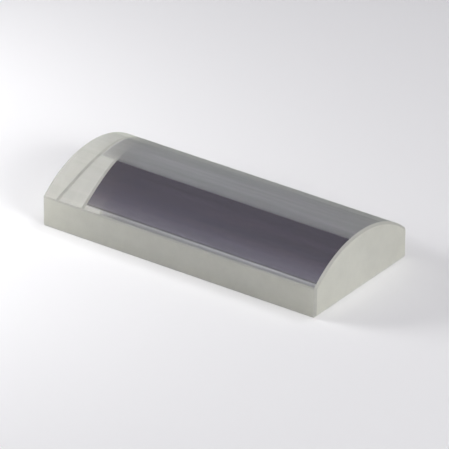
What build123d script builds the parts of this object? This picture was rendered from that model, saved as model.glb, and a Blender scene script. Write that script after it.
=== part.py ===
from build123d import *
import os

# A rectangular plano-convex cylindrical lens, ground and polished from one block of glass.
# Frame: X runs along the cylinder's axis, Y across the curved face, Z is up.
# The origin is the centre of the flat (plano) face, on which the lens rests.

# Driving dimensions, in millimetres.
lens_length = 50.0  # along the cylinder's axis, over the ground ends
lens_width = 24.0  # across the curved face, over the ground long sides
radius_of_curvature = 18.0  # of the polished convex face
edge_thickness = 4.9  # of the long sides, up to the sharp corner that the bevel takes off
end_bevel_leg = 0.35  # bevel round each ground end, measured along each of its two faces
long_bevel_leg = 0.15  # finer bevel along the four long edges, measured the same way

half_width = lens_width / 2

# The section across the cylinder's axis: a flat base, two upright sides and one true arc.
# It is drawn at one end face and extruded along the axis to the other.
with BuildPart() as cylindrical_lens:
    with BuildSketch(Plane.YZ.offset(-lens_length / 2)) as section:
        with BuildLine() as outline:
            flat_base = Line((-half_width, 0), (half_width, 0))
            front_side = Line(flat_base @ 0, (-half_width, edge_thickness))
            back_side = Line(flat_base @ 1, (half_width, edge_thickness))
            RadiusArc(front_side @ 1, back_side @ 1, radius_of_curvature)
        make_face()
    extrude(amount=lens_length)

    # The end bevels run round each ground end: along its base, up its sides and over its arc.
    ground_ends = cylindrical_lens.faces().filter_by(Axis.X)
    chamfer(ground_ends.edges(), length=end_bevel_leg)

    # The long bevels run between the two end bevels, which they meet at each corner.
    long_edges = cylindrical_lens.edges().filter_by(Axis.X)
    chamfer(long_edges, length=long_bevel_leg)

cylindrical_lens.part.label = "cylindrical_lens"

os.makedirs("parts", exist_ok=True)
export_step(cylindrical_lens.part, "parts/cylindrical_lens.step")
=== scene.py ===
import math

import bmesh
import bpy
import numpy as np
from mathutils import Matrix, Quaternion, Vector


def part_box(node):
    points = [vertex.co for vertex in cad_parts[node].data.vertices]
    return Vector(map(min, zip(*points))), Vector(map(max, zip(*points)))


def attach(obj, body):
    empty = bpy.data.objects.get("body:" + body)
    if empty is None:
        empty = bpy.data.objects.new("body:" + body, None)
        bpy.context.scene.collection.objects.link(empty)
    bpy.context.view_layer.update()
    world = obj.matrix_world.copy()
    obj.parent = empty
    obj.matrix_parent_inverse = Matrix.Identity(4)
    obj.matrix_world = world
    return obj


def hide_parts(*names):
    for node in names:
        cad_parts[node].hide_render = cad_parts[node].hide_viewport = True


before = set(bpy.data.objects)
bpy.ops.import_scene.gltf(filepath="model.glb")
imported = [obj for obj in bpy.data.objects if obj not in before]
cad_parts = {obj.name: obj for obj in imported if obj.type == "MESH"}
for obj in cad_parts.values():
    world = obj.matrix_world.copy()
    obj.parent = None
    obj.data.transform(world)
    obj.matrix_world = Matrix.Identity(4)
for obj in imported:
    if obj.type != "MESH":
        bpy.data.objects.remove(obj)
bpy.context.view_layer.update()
MM = 0.001

# The lens's overall sizes come from the frame, and the others are its maker's. It lies on its
# plano face with the cylinder's axis along X.
lens_low, lens_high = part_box("cylindrical_lens")
half_length = (lens_high[0] - lens_low[0]) / 2
half_width = (lens_high[1] - lens_low[1]) / 2
centre_thickness = lens_high[2] - lens_low[2]
curve_radius = 18.0 * MM
end_bevel = 0.35 * MM
long_bevel = 0.15 * MM
curve_centre_height = centre_thickness - curve_radius

# The mesh: how finely the curve is cut, and the sharpest edge that is still shaded smooth.
curve_steps = 256
sharpest_smooth_edge = math.radians(8)
merge_distance = 1e-4 * MM

# Optics: a dense glass, with one layer of a low-index coating on both polished faces.
glass_index = 1.63
glass_tint = (0.77, 0.785, 0.77)
stroke_tint = (0.90, 0.885, 0.905)  # of the polishing strokes, which are a little clearer
grazing_tint = (0.85, 0.88, 0.84)
grazing_start = 0.62  # how far the face is turned away, from 0 to 1
grazing_end = 0.88
grazing_share = 0.8
coating_index = 1.42
coating_nanometres = 110.0
coating_variation = 6.0

# Ground glass: the share of it that is rough but clear, the depth of its grain, and how far its
# tone falls where it is worn.
ground_clear_share = 0.5
grain_depth = 0.01 * MM
worn_tone = 0.92
grains_per_patch = 25

# The four finishes, in the order of the mesh's material slots.
CONVEX, PLANO, GROUND, BEVEL = range(4)


def section_ring(inset, cut):
    """One outline of the section, as points in Y and Z. It is the true outline moved inwards by
    inset, an offset curve, with its four corners cut off by a flat of the given leg. The curve is
    (r sin t, h + r cos t), with t the angle from the upright and h the height of its centre. The
    points run round from the left end of the base: base, right side, curve, left side."""
    side = half_width - inset
    radius = curve_radius - inset
    edge_angle = math.asin(side / radius)
    shoulder = curve_centre_height + radius * math.cos(edge_angle)
    t = np.linspace(1, -1, curve_steps + 1) * (edge_angle - cut / radius)
    curve = np.column_stack([radius * np.sin(t), curve_centre_height + radius * np.cos(t)])
    base = [[cut - side, inset], [side - cut, inset]]
    right_side = [[side, inset + cut], [side, shoulder - cut]]
    left_side = [[-side, shoulder - cut], [-side, inset + cut]]
    return np.concatenate([base, right_side, curve, left_side])


def ring_finishes():
    """The finish of each strip between two neighbouring points of a ring, in the ring's order."""
    base_and_right_side = [PLANO, BEVEL, GROUND, BEVEL]
    left_side = [BEVEL, GROUND, BEVEL]
    return np.array(base_and_right_side + [CONVEX] * curve_steps + left_side)


def build_lens():
    """The glass body as a profile carried along X. At each end the section shrinks inwards as
    fast as it moves outwards, which makes the end bevel, and the flat along each long edge fades
    out where it runs into that bevel. A flat face closes each end."""
    fade = long_bevel / 2
    stations = [(half_length - end_bevel, 0.0, long_bevel),
                (half_length - end_bevel + fade, fade, 0.0),
                (half_length, end_bevel, 0.0)]
    stations = [(-x, inset, cut) for x, inset, cut in reversed(stations)] + stations
    rings = []
    for x, inset, cut in stations:
        ring = section_ring(inset, cut)
        rings.append(np.column_stack([np.full(len(ring), x), ring]))
    points = np.array(rings)

    spans, strips = len(stations) - 1, points.shape[1]
    corner = np.arange(points.shape[0] * strips).reshape(-1, strips)
    following = np.roll(corner, -1, axis=1)
    quads = np.stack([corner[:-1], corner[1:], following[1:], following[:-1]], axis=2)
    finish = np.full((spans, strips), BEVEL)
    finish[spans // 2] = ring_finishes()
    smooth = np.zeros((spans, strips), bool)
    smooth[:, ring_finishes() == CONVEX] = True

    mesh = bpy.data.meshes.new("lens_glass")
    ends = [corner[0].tolist(), corner[-1][::-1].tolist()]
    mesh.from_pydata(points.reshape(-1, 3).tolist(), [], quads.reshape(-1, 4).tolist() + ends)
    mesh.polygons.foreach_set("material_index", finish.ravel().tolist() + [GROUND, GROUND])
    mesh.polygons.foreach_set("use_smooth", smooth.ravel().tolist() + [False, False])

    body = bmesh.new()
    body.from_mesh(mesh)
    bmesh.ops.remove_doubles(body, verts=body.verts, dist=merge_distance)
    bmesh.ops.recalc_face_normals(body, faces=body.faces)
    for edge in body.edges:
        edge.smooth = edge.calc_face_angle(0) < sharpest_smooth_edge
    body.to_mesh(mesh)
    body.free()
    return mesh


def new_material(name):
    material = bpy.data.materials.new(name)
    material.use_nodes = True
    material.node_tree.nodes.clear()
    return material, material.node_tree


def shader(tree, **sockets):
    """A Principled shader on the material's output, with the named sockets set."""
    principled = tree.nodes.new("ShaderNodeBsdfPrincipled")
    for key, value in sockets.items():
        principled.inputs[key.replace("_", " ")].default_value = value
    output = tree.nodes.new("ShaderNodeOutputMaterial")
    tree.links.new(principled.outputs["BSDF"], output.inputs["Surface"])
    return principled


def mix_on_output(tree, first, second):
    """Two shaders mixed on the material's output. It returns the socket for the second's share."""
    mix = tree.nodes.new("ShaderNodeMixShader")
    tree.links.new(first.outputs["BSDF"], mix.inputs[1])
    tree.links.new(second.outputs["BSDF"], mix.inputs[2])
    tree.links.new(mix.outputs["Shader"], tree.nodes["Material Output"].inputs["Surface"])
    return mix.inputs["Fac"]


def ramp(tree, value, start, end, low=0.0, high=1.0, smooth=False):
    """The value carried from the range start to end over to the range low to high."""
    node = tree.nodes.new("ShaderNodeMapRange")
    if smooth:
        node.interpolation_type = "SMOOTHSTEP"
    node.inputs["From Min"].default_value = start
    node.inputs["From Max"].default_value = end
    node.inputs["To Min"].default_value = low
    node.inputs["To Max"].default_value = high
    tree.links.new(value, node.inputs["Value"])
    return node.outputs["Result"]


def spread(tree, field, low, high):
    """The middle range of a noise field, stretched between two values."""
    return ramp(tree, field, 0.3, 0.7, low, high)


def blend(tree, factor, first, second):
    """A colour that runs from the first to the second one with the factor."""
    tones = tree.nodes.new("ShaderNodeMix")
    tones.data_type = "RGBA"
    tones.inputs["A"].default_value = (*first, 1)
    tones.inputs["B"].default_value = (*second, 1)
    tree.links.new(factor, tones.inputs["Factor"])
    return tones.outputs["Result"]


def noise(tree, place, scale, detail):
    field = tree.nodes.new("ShaderNodeTexNoise")
    field.inputs["Scale"].default_value = scale
    field.inputs["Detail"].default_value = detail
    tree.links.new(place, field.inputs["Vector"])
    return field


def streaks(tree, length, width):
    """A noise field drawn out along X, the way that polishing strokes run."""
    place = tree.nodes.new("ShaderNodeTexCoord")
    stretch = tree.nodes.new("ShaderNodeMapping")
    stretch.inputs["Scale"].default_value = (1 / length, 1 / width, 1 / width)
    tree.links.new(place.outputs["Object"], stretch.inputs["Vector"])
    return noise(tree, stretch.outputs["Vector"], 1.0, 3).outputs["Fac"]


def coated_polish(name, haze):
    """Clear glass under a coating. Faint polishing strokes run along it, and the coating is a
    little thicker along some of them. Where a ray only grazes the face, the coating lets it in
    instead of mirroring it."""
    material, tree = new_material(name)
    glass = shader(tree, Transmission_Weight=1.0, Roughness=haze, IOR=glass_index,
                   Thin_Film_Thickness=coating_nanometres, Thin_Film_IOR=coating_index)
    coating = spread(tree, streaks(tree, 30 * MM, 0.9 * MM),
                     coating_nanometres - coating_variation,
                     coating_nanometres + coating_variation)
    tree.links.new(coating, glass.inputs["Thin Film Thickness"])
    marks = spread(tree, streaks(tree, 25 * MM, 0.8 * MM), 0.0, 1.0)
    tree.links.new(blend(tree, marks, glass_tint, stroke_tint), glass.inputs["Base Color"])

    graze = tree.nodes.new("ShaderNodeBsdfRefraction")
    graze.inputs["Color"].default_value = (*grazing_tint, 1)
    graze.inputs["Roughness"].default_value = haze
    graze.inputs["IOR"].default_value = glass_index
    angle = tree.nodes.new("ShaderNodeLayerWeight")
    angle.inputs["Blend"].default_value = 0.5
    share = ramp(tree, angle.outputs["Facing"], grazing_start, grazing_end,
                 high=grazing_share, smooth=True)
    tree.links.new(share, mix_on_output(tree, glass, graze))
    return material


def ground_finish(name, tint, glow, through, roughness, grain_size):
    """Glass ground with loose grit. A share of the light passes diffusely through the broken
    skin, in the colour of the glow. Part of the rest goes through rough but clear glass, and
    what is left comes back from the white skin, in the tint."""
    material, tree = new_material(name)
    principled = shader(tree, Base_Color=(*tint, 1), Transmission_Weight=ground_clear_share,
                        Roughness=roughness, IOR=glass_index)
    skin = tree.nodes.new("ShaderNodeBsdfTranslucent")
    skin.inputs["Color"].default_value = (*glow, 1)
    mix_on_output(tree, principled, skin).default_value = through

    place = tree.nodes.new("ShaderNodeTexCoord").outputs["Object"]
    cloud = noise(tree, place, 1 / (grains_per_patch * grain_size), 6)
    cloud.inputs["Roughness"].default_value = 0.7
    patches = spread(tree, cloud.outputs["Fac"], 0.0, 1.0)
    for colour, surface, socket in ((tint, principled, "Base Color"), (glow, skin, "Color")):
        worn = [worn_tone * channel for channel in colour]
        tree.links.new(blend(tree, patches, worn, colour), surface.inputs[socket])

    grain = noise(tree, place, 1 / grain_size, 3)
    bump = tree.nodes.new("ShaderNodeBump")
    bump.inputs["Distance"].default_value = grain_depth
    tree.links.new(grain.outputs["Fac"], bump.inputs["Height"])
    for surface in (principled, skin):
        tree.links.new(bump.outputs["Normal"], surface.inputs["Normal"])
    return material


lens_mesh = build_lens()
lens = bpy.data.objects.new("lens_glass", lens_mesh)
bpy.context.scene.collection.objects.link(lens)
for finish in (coated_polish("coated_convex_face", haze=0.0),
               coated_polish("coated_plano_face", haze=0.03),
               ground_finish("fine_ground_glass", (0.78, 0.78, 0.70), (0.95, 0.95, 0.87),
                             through=0.4, roughness=0.5, grain_size=0.12 * MM),
               ground_finish("stoned_bevel_glass", (0.92, 0.92, 0.86), (0.60, 0.60, 0.54),
                             through=0.5, roughness=0.6, grain_size=0.08 * MM)):
    lens_mesh.materials.append(finish)
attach(lens, "root")
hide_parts("cylindrical_lens")


# The floor is pale paper just under the lens, with the air gap that dust leaves. It stays pale
# within 80 mm of the lens, and beyond that its colour darkens with distance: painted shade in
# place of light falling off away from the set, so that the glass looks out at a dark room.
floor_reach = 3.0
air_gap = 0.05 * MM
pale_paper = (0.96, 0.96, 0.96)
# painted shade: the far tone that the paper's colour darkens to, for light that has fallen off
painted_falloff_shade = (0.15, 0.15, 0.15)
pale_reach = 80 * MM
painted_shade_full_reach = 200 * MM


def build_floor():
    mesh = bpy.data.meshes.new("paper_floor")
    corners = [(-1, -1), (1, -1), (1, 1), (-1, 1)]
    mesh.from_pydata([(x * floor_reach, y * floor_reach, -air_gap) for x, y in corners],
                     [], [(0, 1, 2, 3)])
    floor = bpy.data.objects.new("paper_floor", mesh)
    bpy.context.scene.collection.objects.link(floor)

    material, tree = new_material("pale_paper")
    paper = shader(tree, Roughness=0.9, Specular_IOR_Level=0.0)
    place = tree.nodes.new("ShaderNodeTexCoord")
    distance = tree.nodes.new("ShaderNodeVectorMath")
    distance.operation = "LENGTH"
    tree.links.new(place.outputs["Object"], distance.inputs[0])
    # Painted shade: past 80 mm from the lens the paper's colour darkens with distance, in place of
    # light falling off.
    painted_falloff_mask = ramp(tree, distance.outputs["Value"], pale_reach, painted_shade_full_reach, smooth=True)
    tree.links.new(blend(tree, painted_falloff_mask, pale_paper, painted_falloff_shade), paper.inputs["Base Color"])
    mesh.materials.append(material)
    return floor


floor = build_floor()


def build_world(low_light, high_light, low_end, high_end):
    """The dark room round the set: a dim violet grey near the horizon that falls to a dimmer one
    higher up, between two elevations in degrees."""
    world = bpy.data.worlds.new("dark_room")
    bpy.context.scene.world = world
    world.use_nodes = True
    tree = world.node_tree
    place = tree.nodes.new("ShaderNodeTexCoord")
    split = tree.nodes.new("ShaderNodeSeparateXYZ")
    tree.links.new(place.outputs["Generated"], split.inputs[0])
    light = ramp(tree, split.outputs["Z"], math.sin(math.radians(low_end)),
                 math.sin(math.radians(high_end)), low_light, high_light)
    background = tree.nodes["Background"]
    background.inputs["Color"].default_value = (1.0, 0.93, 1.19, 1)
    tree.links.new(light, background.inputs["Strength"])


build_world(0.178, 0.09, 0, 25)


def toward(azimuth, elevation):
    """The direction from the lens to a place seen at this azimuth and elevation. Azimuth 0 is
    on the near long side, at -Y, and 90 is off the right end, at +X."""
    a, e = math.radians(azimuth), math.radians(elevation)
    return Vector((math.sin(a) * math.cos(e), -math.cos(a) * math.cos(e), math.sin(e)))


def softbox(name, azimuth, elevation, distance, size, brightness, edge=0.6, depth=None,
            through_glass=True):
    """A round lamp that faces the lens, or an oval one if it has a depth of its own, with a rim
    that fades out from the edge share of its radius. Its brightness is the radiance at its
    middle. One that doesn't pass through glass lights only what it reaches past the lens."""
    lamp = bpy.data.lights.new(name, "AREA")
    lamp.shape = "ELLIPSE"
    lamp.size = size
    lamp.size_y = depth or size
    lamp.energy = brightness * math.pi * math.pi * lamp.size * lamp.size_y / 4
    lamp.use_nodes = True
    tree = lamp.node_tree
    place = tree.nodes.new("ShaderNodeNewGeometry")
    offset = tree.nodes.new("ShaderNodeVectorMath")
    offset.operation = "DISTANCE"
    offset.inputs[1].default_value = (0.5, 0.5, 0)
    tree.links.new(place.outputs["Parametric"], offset.inputs[0])
    fade = ramp(tree, offset.outputs["Value"], 0.5, 0.5 * edge, smooth=True)
    tree.links.new(fade, tree.nodes["Emission"].inputs["Strength"])
    holder = bpy.data.objects.new(name, lamp)
    holder.location = toward(azimuth, elevation) * distance
    holder.rotation_mode = "QUATERNION"
    holder.rotation_quaternion = toward(azimuth, elevation).to_track_quat("Z", "Y")
    holder.visible_camera = False
    holder.visible_transmission = through_glass
    bpy.context.scene.collection.objects.link(holder)


# The key is a long oval, which the whole convex face mirrors faintly. The small lamp near the
# left end makes that end glow, the right one lights the right end, and the back one the paper.
softbox("key", -79, 58, 1.0, 1.7, 0.5, edge=0.2, depth=0.34, through_glass=False)
softbox("left", -67, 26, 0.14, 0.08, 13.6)
softbox("right", 80, 17, 0.6, 0.5, 9.6)
softbox("back", 150, 65, 1.2, 0.6, 5.0, through_glass=False)

# The camera stands where the photograph was taken from, and is turned so that the middle of
# the lens's base falls on the pixel where the photograph has it.
camera_azimuth = 34.95
camera_elevation = 27.88
camera_distance = 979.0 * MM
camera_roll = 0.694
focal_length = 521.9
sensor_width = 36.0
frame_pixels = 449
base_centre_pixel = (223.04, 240.36)


def build_camera():
    lens_data = bpy.data.cameras.new("camera")
    lens_data.lens = focal_length
    lens_data.sensor_width = sensor_width
    lens_data.clip_end = 10 * floor_reach
    camera = bpy.data.objects.new("camera", lens_data)
    middle = (frame_pixels - 1) / 2
    pixels_per_slope = focal_length / sensor_width * frame_pixels
    yaw = math.atan((base_centre_pixel[0] - middle) / pixels_per_slope)
    pitch = math.atan((base_centre_pixel[1] - middle) / pixels_per_slope)
    back = toward(camera_azimuth, camera_elevation)
    camera.location = back * camera_distance
    camera.rotation_mode = "QUATERNION"
    camera.rotation_quaternion = (back.to_track_quat("Z", "Y")
                                  @ Quaternion((0, 0, 1), math.radians(camera_roll))
                                  @ Quaternion((0, 1, 0), yaw)
                                  @ Quaternion((1, 0, 0), pitch))
    bpy.context.scene.collection.objects.link(camera)
    bpy.context.scene.camera = camera


build_camera()
bpy.context.scene.view_settings.view_transform = "Standard"
